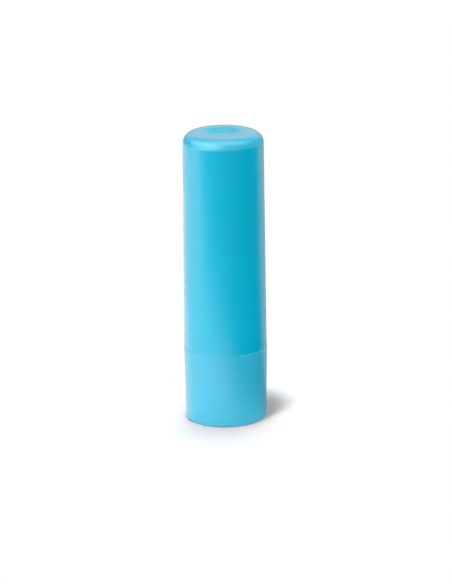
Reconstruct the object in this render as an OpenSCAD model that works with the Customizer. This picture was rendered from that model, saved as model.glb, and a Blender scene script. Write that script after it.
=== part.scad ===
// Lip balm stick, standing upright and closed, in millimetres with +Z up.
// The origin is the centre of the foot ring that it stands on.
// The base turns a threaded spindle, and the spindle lifts a carrier with the balm up the tube.

/* [Overall] */
// Height of the closed stick
stick_h = 67; // [60:0.5:80]
// Outer diameter at the seam, where the stick is widest
seam_d = 19; // [18:0.1:24]
// Height of the seam between the base and the cap
seam_z = 17; // [15:0.5:20]

/* [Cap] */
// Diameter that the cap loses from the seam to its top
cap_taper = 0.7; // [0.2:0.1:1.2]
// Thickness of the cap's side wall
cap_wall = 1.2; // [1:0.05:1.5]
// Thickness of the cap's top
cap_top_wall = 1.4; // [1:0.1:2]
// Radius of the rounded edge round the cap's top
cap_edge_r = 2.5; // [1.8:0.1:3.5]
// Diameter of the shallow dish in the cap's top
dish_d = 10.6; // [8:0.2:12]
// Diameter of the dish's flat bottom
dish_floor_d = 4.8; // [2:0.2:7]
// Depth of the dish
dish_depth = 0.9; // [0.3:0.1:1.5]
// Chamfer inside the cap's mouth
cap_mouth_chamfer = 0.3; // [0.1:0.05:0.5]

/* [Base] */
// Diameter that the base loses from the seam to the foot
base_taper = 0.6; // [0.2:0.1:1.2]
// Thickness of the base's side wall at the seam
base_wall = 1.3; // [1.2:0.05:1.6]
// Thickness of the base's floor
base_floor = 1.8; // [1.2:0.1:2.4]
// Radius of the rounded edge round the foot
foot_edge_r = 0.8; // [0.4:0.1:1.2]
// Width of the flat ring that the stick stands on
foot_ring_w = 1.4; // [0.8:0.1:2.5]
// Depth of the recess inside the foot ring
foot_recess = 0.6; // [0.3:0.1:1]
// Height of the boss that holds the spindle
boss_h = 3.6; // [3:0.1:4.5]
// Thickness of the boss's wall at the corners of its socket
boss_wall = 1.3; // [0.8:0.1:1.6]
// Number of gussets between the boss and the floor
gusset_count = 4; // [3:1:8]
// Thickness of a gusset
gusset_t = 0.9; // [0.6:0.1:1.2]
// Height of a gusset above the floor
gusset_h = 2.4; // [1:0.1:2.8]
// How far a gusset reaches out from the boss
gusset_reach = 2; // [1:0.1:2.2]

/* [Tube] */
// Thinnest wall of the tube, at its mouth
tube_wall = 0.8; // [0.6:0.05:1]
// Height of the collar that the cap grips, above the seam
collar_h = 4.5; // [4:0.1:7]
// Height of the slope between the collar and the slimmer barrel
collar_slope_h = 0.6; // [0.3:0.1:1]
// Radius of the rounded outer edge of the mouth
mouth_edge_r = 0.4; // [0.2:0.05:0.5]
// Height of the cap's snap bead above the seam
bead_up = 2.4; // [1.6:0.1:2.8]
// Width of the snap bead at its crest
bead_crest_w = 0.4; // [0.2:0.1:0.8]
// Height of the ring that keeps the tube in the base
keeper_z = 8.5; // [6:0.1:11]
// How far the keeper ring stands out of the tube
keeper_proud = 0.25; // [0.15:0.05:0.35]
// Width of the keeper ring at its crest
keeper_crest_w = 0.6; // [0.3:0.1:1]
// Number of guide ribs inside the tube
guide_count = 4; // [2:1:6]
// Height of a guide rib
guide_h = 0.45; // [0.3:0.05:0.5]
// Width of a guide rib
guide_w = 1; // [0.8:0.1:1.4]
// Distance from the mouth down to the guide ribs
guide_inset = 1; // [0.5:0.1:2]

/* [Spindle] */
// Diameter over the thread
thread_d = 4.8; // [4.4:0.1:5.2]
// Diameter of the spindle's core
core_d = 3.2; // [2.6:0.1:3.4]
// Rise of the thread in one turn
thread_lead = 4; // [3.2:0.1:4.5]
// Width of the thread where it meets the core
thread_root_w = 1.5; // [1.2:0.1:1.7]
// Width of the thread at its crest
thread_crest_w = 0.7; // [0.5:0.1:0.9]
// Width over the flats of the hexagonal shank in the boss
shank_af = 4.4; // [4:0.1:5]
// Diameter of the flange that sits on the boss
flange_d = 6.8; // [6.2:0.1:7.4]
// Thickness of the flange
flange_t = 0.9; // [0.6:0.1:1.2]
// Height of the plain pointed tip
tip_h = 0.8; // [0.4:0.1:1.5]

/* [Carrier] */
// Length of the threaded hub, from its foot to the platform's top
hub_len = 13.4; // [12:0.1:16]
// Thickness of the hub's wall
hub_wall = 1.1; // [0.8:0.1:1.3]
// Turns of thread inside the hub
nut_turns = 1.75; // [1:0.25:2]
// Turns of thread that still hold the nut when the balm is right up
nut_hold_turns = 1; // [0.75:0.25:1.5]
// Thickness of the platform under the balm
platform_t = 1; // [0.8:0.1:1.5]
// Height of the cup's wall above the platform
cup_h = 7; // [5:0.1:9]
// Thickness of the cup's wall
cup_wall = 0.9; // [0.8:0.05:1.1]
// Length of the skirt below the platform
skirt_len = 7; // [4:0.1:9]
// Thickness of the webs between hub and skirt
web_t = 0.8; // [0.6:0.1:1.2]
// Thickness of the fins that hold the balm in the cup
fin_t = 0.7; // [0.5:0.1:1]
// How far a fin stands in from the cup's wall
fin_reach = 1.2; // [0.8:0.1:1.6]
// Height of a fin above the platform
fin_h = 5; // [3:0.1:5]

/* [Balm] */
// Height of the balm's domed tip
dome_h = 2.4; // [1.5:0.1:4]
// How far the balm's tip stands out of the closed stick's tube
balm_proud = 2.2; // [1:0.1:3]
// Space between the balm's tip and the cap
head_gap = 2; // [1:0.1:3]

/* [Clearances] */
// Gap at the seam, between the base and the cap's rim
seam_gap = 0.05; // [0.02:0.01:0.2]
// Radial clearance between the tube and the base that turns round it
turn_fit = 0.08; // [0.05:0.01:0.1]
// Clearance between the keeper ring and its groove
keeper_fit = 0.1; // [0.05:0.01:0.15]
// Clearance between the tube's foot and the base's floor
foot_fit = 0.35; // [0.2:0.05:0.6]
// Radial clearance between the snap bead and the cap
snap_fit = 0.05; // [0.03:0.01:0.1]
// Radial gap between the barrel and the cap
barrel_gap = 0.35; // [0.3:0.05:0.6]
// Radial clearance of the carrier and the balm in the tube
slide_fit = 0.14; // [0.1:0.01:0.2]
// Clearance between the carrier's notches and the guide ribs
guide_fit = 0.15; // [0.1:0.01:0.25]
// Clearance between the two threads, radially and along the axis
thread_fit = 0.2; // [0.15:0.01:0.3]
// Clearance between the spindle and the balm's bore
balm_bore_fit = 0.35; // [0.2:0.05:0.6]
// Gap round the shank that is pressed into the boss
press_fit = 0.02; // [0.01:0.01:0.04]
// Gap between the cast balm and the cup that it fills
cast_fit = 0.03; // [0.02:0.01:0.06]
// Gap under the carrier's hub when the balm is right down
rest_gap = 0.7; // [0.4:0.1:1.2]
// How far the cup's rim stays below the mouth when the balm is right up
rim_inset = 0.5; // [0.3:0.1:2]

/* [Hidden] */

// Facets of a whole circle, and of one turn of a thread
$fn = 96;
turn_facets = 24;
// Turns over which the spindle's thread sinks into its core at each end
fade_turns = 0.25;
// Steps up the dish's wall, from its flat bottom to its rim
dish_steps = 12;
// How far a cut runs past the solid, and a joined form reaches into it
overrun = 0.4;

// The outside: both walls widen towards the seam
seam_r = seam_d / 2;
foot_r = seam_r - base_taper / 2;
cap_z0 = seam_z + seam_gap;
cap_slope = -cap_taper / 2 / (stick_h - cap_z0);
base_slope = base_taper / 2 / seam_z;
dish_wall_w = (dish_d - dish_floor_d) / 2;

// The cap's inside
cap_in_r = seam_r - cap_wall;
cap_ceiling_z = stick_h - cap_top_wall;
cap_in_edge_r = cap_edge_r - cap_wall;

// The base's inside
floor_z = foot_recess + base_floor;
boss_top = floor_z + boss_h;
socket_r = shank_af / 2 / cos(30);
boss_r = socket_r + boss_wall;
cavity_r = seam_r - base_wall;

// The tube
tube_z0 = floor_z + foot_fit;
skirt_r = cavity_r - turn_fit;
balm_tip_z = cap_ceiling_z - dish_depth - head_gap;
mouth_z = balm_tip_z - balm_proud;
collar_z = seam_z + collar_h;
barrel_foot_r = cap_inside(collar_z) - barrel_gap;
barrel_top_r = cap_inside(mouth_z) - barrel_gap;
bore_r = barrel_top_r - tube_wall;
bead_z = seam_z + bead_up;
bead_r = cap_inside(bead_z) - snap_fit;
bead_proud = bead_r - skirt_r;
keeper_groove = keeper_proud + keeper_fit - turn_fit;

// The carrier, right down
hub_z0 = boss_top + flange_t + rest_gap;
platform_z = hub_z0 + hub_len;
rim_z = platform_z + cup_h;
carrier_travel = mouth_z - rim_inset - rim_z;
cup_r = bore_r - slide_fit;
cup_in_r = cup_r - cup_wall;
nut_r = thread_d / 2 + thread_fit;
hub_r = nut_r + hub_wall;
skirt_z0 = platform_z - platform_t - skirt_len;
guide_in_r = bore_r - guide_h;
guide_turn = 360 / guide_count;

// The thread, and the nut's ridge that fills the space between its turns
core_r = core_d / 2;
thread_r = thread_d / 2;
flank_slope = (thread_root_w - thread_crest_w) / (thread_r - core_r);
ridge_r = core_r + thread_fit;
ridge_w = thread_lead - 2 * thread_fit - thread_root_w + flank_slope * (ridge_r - core_r);
ridge_foot_w = ridge_w + flank_slope * (nut_r - ridge_r);

// The nut starts half a turn out of step with the thread, at the first such place in the hub
thread_z0 = boss_top + flange_t + thread_root_w;
nut_start_turns = ceil((hub_z0 + ridge_foot_w / 2 - thread_z0) / thread_lead - 0.5) + 0.5;
nut_z0 = thread_z0 + nut_start_turns * thread_lead;
thread_z1 = nut_z0 + carrier_travel + nut_hold_turns * thread_lead;
spindle_top = thread_z1 + thread_root_w / 2 + tip_h;

// The balm
balm_r = bore_r - slide_fit;
balm_bore_r = thread_r + balm_bore_fit;
balm_bore_top = spindle_top + balm_bore_fit;
dome_z = balm_tip_z - dome_h;
dome_r = (balm_r * balm_r + dome_h * dome_h) / (2 * dome_h);

// Radius of the cap's inner wall at height z
function cap_inside(z) = cap_in_r + cap_slope * (z - cap_z0);

// Point of the dish at a share of the way up its wall, below the level top_z: the wall is half a
// wave of a cosine, so it meets the flat bottom and the rim without an edge
function dish_point(share, top_z) =
    [dish_floor_d / 2 + dish_wall_w * share, top_z - dish_depth * (1 + cos(180 * share)) / 2];

// Centre of an edge of radius e between the level z = level and a wall that passes through
// radius r0 at height z0 and leans out by slope for each unit of height; side is the wall's
// side of the level, 1 above it and -1 below it
function edge_centre(r0, z0, slope, level, side, e) =
    let (z = level + side * e) [r0 + slope * (z - z0) - e * sqrt(1 + slope * slope), z];

// The point where that edge meets the wall
function edge_on_wall(centre, slope, e) = centre + e * [1, -slope] / sqrt(1 + slope * slope);

// A left-hand thread as one closed sweep. The foot of its profile is buried in what carries it,
// at radius foot_r and width foot_w, and its crest is free, at crest_r and crest_w.
// The crest sinks to sink_r over the last sink_turns at each end.
module thread(foot_r, foot_w, crest_r, crest_w, z0, turns, sink_r, sink_turns) {
    steps = ceil(turns * turn_facets);
    outward = sign(crest_r - foot_r);
    points = [
        for (i = [0:steps])
            let (
                turn = turns * i / steps,
                share = sink_turns > 0 ? min(1, turn / sink_turns, (turns - turn) / sink_turns) : 1,
                r = sink_r + (crest_r - sink_r) * share,
                z = z0 + turn * thread_lead
            )
            for (corner = [
                [foot_r, -foot_w / 2], [r, -crest_w / 2], [r, crest_w / 2], [foot_r, foot_w / 2]
            ])
                [corner[0] * cos(360 * turn), -corner[0] * sin(360 * turn), z + outward * corner[1]]
    ];
    sides = [
        for (i = [0:steps - 1], k = [0:3])
            let (a = 4 * i + k, b = 4 * i + (k + 1) % 4)
            each [[a, a + 4, b], [b, a + 4, b + 4]]
    ];
    last = 4 * steps;
    ends = [[0, 1, 2], [0, 2, 3], [last, last + 2, last + 1], [last, last + 3, last + 2]];
    polyhedron(points = points, faces = concat(sides, ends), convexity = 10);
}

// A flat blade of thickness t that stands on a radius at an angle; its outline is in r and z
module blade(angle, t, outline) {
    rotate([0, 0, angle])
        rotate([90, 0, 0])
            linear_extrude(height = t, center = true)
                polygon(outline);
}

// The outline of a ring with flanks at 45 degrees, standing out by h from a wall of radius r
function ring_outline(r, z, h, crest_w) =
    let (half_w = crest_w / 2)
    [
        [r - overrun, z - half_w - h], [r, z - half_w - h], [r + h, z - half_w],
        [r + h, z + half_w], [r, z + half_w + h], [r - overrun, z + half_w + h]
    ];

// The outline that the cap's inside and outside share, from z0 up: a leaning wall, a rounded edge
// and a top that follows the dish
module cap_outline(wall_r, z0, top_z, edge_r) {
    centre = edge_centre(wall_r, cap_z0, cap_slope, top_z, -1, edge_r);
    polygon(concat(
        [[0, z0], [wall_r + cap_slope * (z0 - cap_z0), z0]],
        [edge_on_wall(centre, cap_slope, edge_r), [centre[0], top_z]],
        [for (i = [dish_steps:-1:0]) dish_point(i / dish_steps, top_z)],
        [[0, top_z - dish_depth]]
    ));
    translate(centre)
        circle(edge_r);
}

// One moulding: a rounded edge, a dish in its top and a groove for the tube's snap bead
module cap() {
    mouth_r = cap_in_r + cap_mouth_chamfer;
    color([0.05, 0.7, 0.84])
        rotate_extrude()
            difference() {
                cap_outline(seam_r, cap_z0, stick_h, cap_edge_r);
                cap_outline(cap_in_r, cap_z0 - overrun, cap_ceiling_z, cap_in_edge_r);
                polygon([
                    [0, cap_z0 - overrun], [mouth_r + overrun, cap_z0 - overrun],
                    [mouth_r, cap_z0], [cap_in_r, cap_z0 + cap_mouth_chamfer],
                    [0, cap_z0 + cap_mouth_chamfer]
                ]);
                polygon(ring_outline(cap_inside(bead_z), bead_z, bead_proud, bead_crest_w));
            }
}

// The twist grip: a foot ring, a groove that keeps the tube, and the boss that drives the spindle
module base_shell() {
    centre = edge_centre(foot_r, 0, base_slope, 0, 1, foot_edge_r);
    ring_in_r = centre[0] - foot_ring_w;
    color([0.2, 0.73, 0.85])
        difference() {
            union() {
                rotate_extrude()
                    difference() {
                        union() {
                            polygon([
                                [0, foot_recess], [ring_in_r, foot_recess], [ring_in_r, 0],
                                [centre[0], 0], edge_on_wall(centre, base_slope, foot_edge_r),
                                [seam_r, seam_z], [0, seam_z]
                            ]);
                            translate(centre)
                                circle(foot_edge_r);
                        }
                        polygon([
                            [0, floor_z], [cavity_r, floor_z],
                            [cavity_r, seam_z + overrun], [0, seam_z + overrun]
                        ]);
                        polygon(ring_outline(
                            cavity_r, keeper_z, keeper_groove, keeper_crest_w + 2 * keeper_fit
                        ));
                    }
                translate([0, 0, floor_z - overrun])
                    cylinder(h = boss_h + overrun, r = boss_r);
                for (i = [0:gusset_count - 1])
                    blade(360 * i / gusset_count, gusset_t, [
                        [boss_r - overrun, floor_z - overrun],
                        [boss_r + gusset_reach, floor_z - overrun],
                        [boss_r + gusset_reach, floor_z],
                        [boss_r, floor_z + gusset_h],
                        [boss_r - overrun, floor_z + gusset_h]
                    ]);
            }
            translate([0, 0, floor_z])
                cylinder(h = boss_h + overrun, r = socket_r + press_fit / cos(30), $fn = 6);
        }
}

// The threaded rod, fixed in the base by its hexagonal shank
module spindle() {
    sunk_r = core_r - overrun;
    color([0.93, 0.93, 0.9]) {
        translate([0, 0, floor_z])
            cylinder(h = boss_h + overrun, r = socket_r, $fn = 6);
        translate([0, 0, boss_top])
            cylinder(h = flange_t, r = flange_d / 2);
        translate([0, 0, boss_top])
            cylinder(h = spindle_top - tip_h - boss_top, r = core_r);
        translate([0, 0, spindle_top - tip_h])
            cylinder(h = tip_h, r1 = core_r, r2 = core_r - tip_h / 2);
        thread(
            sunk_r, thread_root_w + flank_slope * overrun, thread_r, thread_crest_w,
            thread_z0, (thread_z1 - thread_z0) / thread_lead, core_r - overrun / 2, fade_turns
        );
    }
}

// The part that shows when the cap is off: it turns in the base and guides the carrier
module inner_tube() {
    barrel_slope = (barrel_top_r - barrel_foot_r) / (mouth_z - collar_z);
    edge = edge_centre(barrel_top_r, mouth_z, barrel_slope, mouth_z, -1, mouth_edge_r);
    guide_z0 = skirt_z0 - guide_h;
    guide_z1 = mouth_z - guide_inset;
    color([0.96, 0.96, 0.94]) {
        rotate_extrude() {
            polygon([
                [bore_r, tube_z0], [skirt_r - turn_fit - keeper_proud, tube_z0],
                [skirt_r, tube_z0 + keeper_proud + turn_fit], [skirt_r, collar_z - collar_slope_h],
                [barrel_foot_r, collar_z], edge_on_wall(edge, barrel_slope, mouth_edge_r),
                [edge[0], mouth_z], [bore_r, mouth_z]
            ]);
            translate(edge)
                circle(mouth_edge_r);
            polygon(ring_outline(skirt_r, keeper_z, keeper_proud, keeper_crest_w));
            polygon(ring_outline(skirt_r, bead_z, bead_proud, bead_crest_w));
        }
        for (i = [0:guide_count - 1])
            blade(guide_turn * (i + 0.5), guide_w, [
                [bore_r + overrun, guide_z0 - overrun], [bore_r, guide_z0 - overrun],
                [guide_in_r, guide_z0 + guide_h], [guide_in_r, guide_z1 - guide_h],
                [bore_r, guide_z1], [bore_r + overrun, guide_z1]
            ]);
    }
}

// The nut that rides up the spindle, with the cup that holds the balm
module carrier() {
    notch_r = guide_in_r - guide_fit;
    color([0.9, 0.9, 0.86]) {
        difference() {
            rotate_extrude()
                polygon([
                    [nut_r, hub_z0], [hub_r, hub_z0], [hub_r, platform_z - platform_t],
                    [cup_in_r, platform_z - platform_t], [cup_in_r, skirt_z0], [cup_r, skirt_z0],
                    [cup_r, rim_z], [cup_in_r, rim_z], [cup_in_r, platform_z], [nut_r, platform_z]
                ]);
            for (i = [0:guide_count - 1])
                blade(guide_turn * (i + 0.5), guide_w + 2 * guide_fit, [
                    [notch_r, skirt_z0 - overrun], [cup_r + overrun, skirt_z0 - overrun],
                    [cup_r + overrun, rim_z + overrun], [notch_r, rim_z + overrun]
                ]);
        }
        for (i = [0:guide_count - 1]) {
            blade(guide_turn * i, web_t, [
                [hub_r - overrun, skirt_z0], [cup_in_r + overrun, skirt_z0],
                [cup_in_r + overrun, platform_z - platform_t / 2],
                [hub_r - overrun, platform_z - platform_t / 2]
            ]);
            blade(guide_turn * i, fin_t, fin_outline(0));
        }
        thread(
            nut_r + overrun, ridge_foot_w + flank_slope * overrun, ridge_r, ridge_w,
            nut_z0, nut_turns, ridge_r, 0
        );
    }
}

// Outline of a fin in the cup, grown by gap for the slot that it leaves in the balm
function fin_outline(gap) = [
    [cup_in_r - fin_reach - gap, platform_z - overrun], [cup_in_r + overrun, platform_z - overrun],
    [cup_in_r + overrun, platform_z + fin_h + gap], [cup_in_r - fin_reach - gap, platform_z + fin_h + gap]
];

// The balm, cast in the cup round the spindle, with a domed tip
module balm() {
    groove_r = guide_in_r - guide_fit;
    plug_r = cup_in_r - cast_fit;
    color([0.96, 0.93, 0.82])
        difference() {
            rotate_extrude()
                difference() {
                    union() {
                        polygon([
                            [0, platform_z + cast_fit], [plug_r, platform_z + cast_fit],
                            [plug_r, rim_z + cast_fit], [balm_r, rim_z + cast_fit],
                            [balm_r, dome_z], [0, dome_z]
                        ]);
                        intersection() {
                            translate([0, balm_tip_z - dome_r])
                                circle(dome_r);
                            translate([0, dome_z - overrun])
                                square([balm_r, dome_h + overrun]);
                        }
                    }
                    polygon([
                        [0, platform_z], [balm_bore_r, platform_z],
                        [balm_bore_r, balm_bore_top], [0, balm_bore_top + balm_bore_r / 2]
                    ]);
                }
            for (i = [0:guide_count - 1]) {
                blade(guide_turn * i, fin_t + 2 * cast_fit, fin_outline(cast_fit));
                blade(guide_turn * (i + 0.5), guide_w + 2 * guide_fit, [
                    [groove_r, rim_z], [balm_r + overrun, rim_z],
                    [balm_r + overrun, balm_tip_z], [groove_r, balm_tip_z]
                ]);
            }
        }
}

base_shell();
spindle();
inner_tube();
carrier();
balm();
cap();
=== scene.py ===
"""Lip balm stick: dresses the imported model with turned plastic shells, a cast balm and a small studio."""

import math

import bpy
from bpy.props import FloatProperty, FloatVectorProperty, IntProperty, PointerProperty
from mathutils import Matrix, Vector


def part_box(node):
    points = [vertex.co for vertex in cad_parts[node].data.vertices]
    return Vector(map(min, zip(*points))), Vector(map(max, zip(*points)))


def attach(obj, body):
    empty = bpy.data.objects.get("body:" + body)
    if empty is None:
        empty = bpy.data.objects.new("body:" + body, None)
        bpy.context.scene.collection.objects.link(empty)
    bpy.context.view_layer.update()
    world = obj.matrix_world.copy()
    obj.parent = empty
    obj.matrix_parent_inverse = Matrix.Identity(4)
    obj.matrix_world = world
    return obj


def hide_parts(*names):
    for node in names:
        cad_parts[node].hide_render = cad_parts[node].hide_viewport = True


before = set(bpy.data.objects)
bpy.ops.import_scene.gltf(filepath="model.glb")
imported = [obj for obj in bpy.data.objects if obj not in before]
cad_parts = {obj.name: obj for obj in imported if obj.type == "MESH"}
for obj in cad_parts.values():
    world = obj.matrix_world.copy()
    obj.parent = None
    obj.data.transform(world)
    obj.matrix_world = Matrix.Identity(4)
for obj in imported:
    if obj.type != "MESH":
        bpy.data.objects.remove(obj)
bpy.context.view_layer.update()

bl_info = {
    "name": "Lip Balm Stick",
    "version": (1, 0, 0),
    "blender": (4, 5, 0),
    "location": "View3D > Sidebar > Balm Stick",
    "description": "Models the shells, tube and balm of a twist-up lip balm stick round its packed frame",
    "category": "Add Mesh",
}

MM = 0.001
PICTURE_W = 452
PICTURE_H = 584
# Width of the camera's sensor in millimetres
SENSOR_W = 36.0
# Steps over a fine edge
FINE_STEPS = 3
# The mark of the cap's gate from its foot to its middle, as shares of its radius and height
GATE_PROFILE = ((1.15, 0.0), (1.0, 0.3), (0.9, 1.0), (0.4, 1.0))
# The mark in the base's underside narrows to this share of its radius
BASE_GATE_SHARE = 0.8
# Turns of the gussets, the guide ribs and the slots, which stand in fours round the axis
QUARTER_TURNS = [math.pi / 2 * i for i in range(4)]
# Textures of the plastics, in features per metre
CLOUD_SCALE = 90.0
PATCH_SCALE = 260.0
RIPPLE_SCALE = 420.0
GRAIN_SCALE = 5200.0
# The same for the balm
WAX_CLOUD_SCALE = 160.0
WAX_SHEEN_SCALE = 400.0
WAX_FLOW_SCALE = 900.0
# How far the plastics' roughness varies to either side
ROUGHNESS_SPREAD = 0.05
# How much deeper the plastics' ripple is than their grain
RIPPLE_SHARE = 2.5
# Height that the lamps are aimed at
LAMP_AIM_Z = 30 * MM
# Between these distances from its middle a mirrored box fades out, as shares of its sides
BOX_BRIGHT = 0.15
BOX_DARK = 0.5


def side_radius(node):
    """Largest radius of a CAD node about the stick's axis."""
    low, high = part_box(node)
    return (high[0] - low[0]) / 2


CAP_LOW, CAP_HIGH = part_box("cap")
BASE_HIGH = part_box("base_shell")[1]
TUBE_LOW, TUBE_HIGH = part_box("inner_tube")
BALM_LOW, BALM_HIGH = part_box("balm")
SEAM_R = side_radius("cap")
BALM_R = side_radius("balm")


def length(name, description, millimetres):
    """A length property in metres, with its default given in millimetres."""
    return FloatProperty(
        name=name, description=description, default=millimetres * MM, min=0.0, precision=5, unit="LENGTH"
    )


def angle(name, description, degrees):
    """An angle property, with its default given in degrees."""
    return FloatProperty(
        name=name, description=description, default=math.radians(degrees), subtype="ANGLE", unit="ROTATION"
    )


def amount(name, description, value):
    """A plain number property."""
    return FloatProperty(name=name, description=description, default=value)


def colour(name, description, rgb):
    """A colour property, in linear values."""
    return FloatVectorProperty(
        name=name, description=description, default=rgb, size=3, min=0.0, max=1.0, subtype="COLOR"
    )


class BalmStickShells(bpy.types.PropertyGroup):
    """Sizes of the cap and the base, which are the outside of the closed stick."""

    sides: IntProperty(
        name="Sides", description="Facets round every turned piece", default=192, min=48, max=512
    )
    edge_steps: IntProperty(
        name="Edge steps", description="Steps over a large rounded edge", default=12, min=3, max=32
    )
    fine_edge_r: length("Fine edge", "Radius of the fine edges of every moulding", 0.1)
    rim_step: length("Rim step", "How far the cap's rim stands back from the base at the seam", 0.08)
    rim_edge_r: length("Rim edge", "Radius of the edge round the cap's rim", 0.015)
    rim_drop: length("Rim drop", "How far the cap's rim reaches down towards the base", 0.04)
    gate_r: length("Gate radius", "Radius of the mark that the moulding gate leaves", 0.45)
    gate_h: length("Gate height", "Height of the gate's mark", 0.04)
    cap_taper: length("Cap taper", "Radius that the cap loses from the seam to its top", 0.35)
    cap_wall: length("Cap wall", "Thickness of the cap's side wall", 1.2)
    cap_top_wall: length("Cap top", "Thickness of the cap's top", 1.4)
    cap_edge_r: length("Cap edge", "Radius of the rounded edge round the cap's top", 2.5)
    dish_r: length("Dish radius", "Radius of the dish in the cap's top", 5.3)
    dish_floor_r: length("Dish floor radius", "Radius of the dish's flat bottom", 2.4)
    dish_depth: length("Dish depth", "Depth of the dish in the cap's top", 0.9)
    mouth_chamfer: length("Mouth chamfer", "Chamfer inside the cap's mouth", 0.3)
    base_taper: length("Base taper", "Radius that the base loses from the seam to the foot", 0.3)
    base_wall: length("Base wall", "Thickness of the base's wall at the seam", 1.3)
    base_floor: length("Base floor", "Thickness of the base's floor", 1.8)
    foot_edge_r: length("Foot edge", "Radius of the rounded edge round the foot", 0.5)
    foot_ring_w: length("Foot ring", "Width of the flat ring that the stick stands on", 1.4)
    foot_recess: length("Foot recess", "Depth of the recess inside the foot ring", 0.6)
    boss_h: length("Boss height", "Height of the boss that holds the spindle", 3.6)
    boss_r: length("Boss radius", "Outer radius of the boss", 3.84)
    socket_r: length("Socket radius", "Radius of the boss's hexagonal socket over its corners", 2.56)
    gusset_t: length("Gusset thickness", "Thickness of the gussets round the boss", 0.9)
    gusset_h: length("Gusset height", "Height of the gussets round the boss", 2.4)
    gusset_reach: length("Gusset reach", "How far the gussets reach out from the boss", 2.0)


class BalmStickInside(bpy.types.PropertyGroup):
    """Sizes of the inner tube and the balm, which show when the cap is off."""

    tube_wall: length("Tube wall", "Thickness of the tube's wall at its mouth", 0.8)
    turn_fit: length("Turning fit", "Gap between the tube's skirt and the base", 0.08)
    barrel_gap: length("Barrel gap", "Gap between the barrel and the cap", 0.35)
    collar_h: length("Collar height", "Height of the collar over the base", 4.5)
    collar_slope_h: length("Collar slope", "Height of the slope from the collar to the barrel", 0.6)
    mouth_edge_r: length("Mouth edge", "Radius of the rounded edge round the tube's mouth", 0.4)
    bead_up: length("Bead height", "Height of the snap bead's middle over the base", 2.4)
    bead_proud: length("Bead", "How far the snap bead stands out of the collar", 0.1135)
    bead_crest_w: length("Bead crest", "Width of the snap bead's crest", 0.4)
    keeper_z: length("Keeper height", "Height of the ring that holds the tube in the base", 8.5)
    keeper_proud: length("Keeper", "How far the keeper ring stands out of the skirt", 0.25)
    keeper_crest_w: length("Keeper crest", "Width of the keeper ring's crest", 0.6)
    guide_h: length("Guide height", "How far the guide ribs stand into the bore", 0.45)
    guide_w: length("Guide width", "Width of the guide ribs", 1.0)
    guide_low_z: length("Guide foot", "Height of the guide ribs' lower ends", 13.0)
    guide_inset: length("Guide inset", "Distance from the tube's mouth to the guide ribs", 1.0)
    guide_fit: length("Guide fit", "Gap between the guide ribs and the balm", 0.15)
    cup_wall: length("Cup wall", "Thickness of the cup's wall round the balm's foot", 0.93)
    cup_h: length("Cup height", "Height of the cup round the balm's foot", 7.0)
    fin_t: length("Fin slot", "Width of the slots that the cup's fins leave in the balm", 0.76)
    fin_reach: length("Fin reach", "Depth of the slots that the cup's fins leave in the balm", 1.2)
    fin_h: length("Fin height", "Height of the slots that the cup's fins leave in the balm", 5.0)
    bore_r: length("Bore radius", "Radius of the hole that the spindle turns in, inside the balm", 2.75)
    bore_top_z: length("Bore top", "Height of the top of the hole's straight part", 48.3)
    dome_h: length("Dome height", "Height of the balm's domed tip", 2.4)
    shoulder_r: length("Shoulder", "Radius of the soft shoulder round the balm's dome", 0.5)


class BalmStickColours(bpy.types.PropertyGroup):
    """Colours of the plastics and the balm."""

    cap: colour("Cap", "Sky blue of the cap's plastic", (0.0, 0.494, 0.725))
    base: colour("Base", "Sky blue of the base's plastic", (0.035, 0.494, 0.725))
    tube: colour("Tube", "White of the inner tube", (0.86, 0.87, 0.86))
    mechanism: colour("Mechanism", "Natural white of the spindle and the carrier", (0.78, 0.78, 0.74))
    balm: colour("Balm", "Cream of the balm", (0.9, 0.82, 0.6))
    sheet: colour("Sheet", "White of the sheet that the stick stands on", (0.73, 0.73, 0.73))
    seen_sheet: colour("Seen sheet", "The sheet as the camera sees it", (0.9, 0.9, 0.9))
    near_sheet: colour(
        "Near sheet", "The same near the stick, against the blue that it catches there", (0.89, 0.812, 0.785)
    )
    table: colour(
        "Table", "Dark of the table beyond the sheet, which the camera sees as white", (0.005, 0.005, 0.005)
    )


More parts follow.
